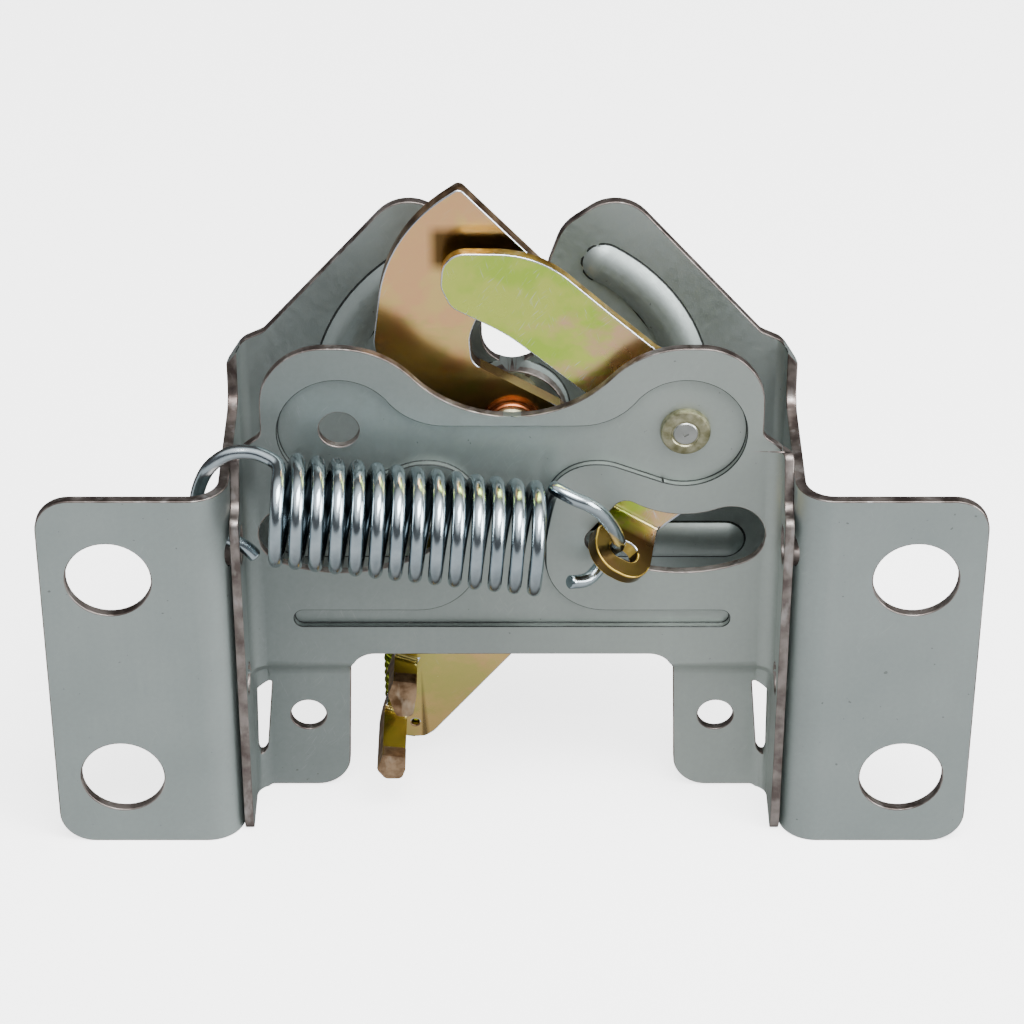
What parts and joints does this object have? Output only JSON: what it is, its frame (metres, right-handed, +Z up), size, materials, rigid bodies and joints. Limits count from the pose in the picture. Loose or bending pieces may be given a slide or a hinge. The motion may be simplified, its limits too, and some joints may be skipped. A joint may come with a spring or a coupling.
{
  "type": "bonnet latch",
  "caption": "Bonnet latch of folded sheet steel with a sprung catch hook, a sprung lifting lever and bolted mounting ears.",
  "frame": {"origin": "centre of the four ear holes, on the rear face of the ears, which lies on the vehicle's panel", "axes": "+X to the right seen from the front, +Y from the ears back into the latch, +Z up towards the bonnet"},
  "size_m": [0.16, 0.0449, 0.1201],
  "materials": {
    "mounting_zinc": "satin blue-grey zinc plating",
    "inner_zinc": "satin blue-grey zinc plating",
    "yellow_passivate": "yellow iridescent zinc plating",
    "rivet_steel": "dull olive-silver plating",
    "bush_copper": "copper coloured, satin",
    "spring_steel": "bright blue-silver zinc plating",
    "spring_yellow": "yellow-green zinc plating"
  },
  "bodies": {
    "frame": {"mounting_bracket": "mounting_zinc", "inner_bracket": "inner_zinc", "lifter_rivet": "rivet_steel", "lifter_washer": "rivet_steel", "catch_rivet": "rivet_steel", "catch_collar": "rivet_steel", "lifter_spring": "spring_steel", "return_spring": "spring_yellow"},
    "catch": {"catch_hook": "yellow_passivate", "catch_bush": "bush_copper"},
    "lifter": {"lifter_lever": "yellow_passivate", "lifter_bush": "bush_copper"}
  },
  "joints": [
    {"name": "catch_pivot", "type": "hinge", "parent": "frame", "child": "catch", "pos_m": [0, 0.0215, 0.0386], "axis": [0, -1, 0], "range_deg": [0, 26], "stiffness_Nm_per_rad": 3, "springref_deg": -6.88, "deforming": ["return_spring"]},
    {"name": "lifter_pivot", "type": "hinge", "parent": "frame", "child": "lifter", "pos_m": [0.0293, 0.0161, 0.0421], "axis": [0, -1, 0], "range_deg": [0, 43], "stiffness_Nm_per_rad": 1.1, "springref_deg": -34.38, "deforming": ["lifter_spring"]}
  ]
}
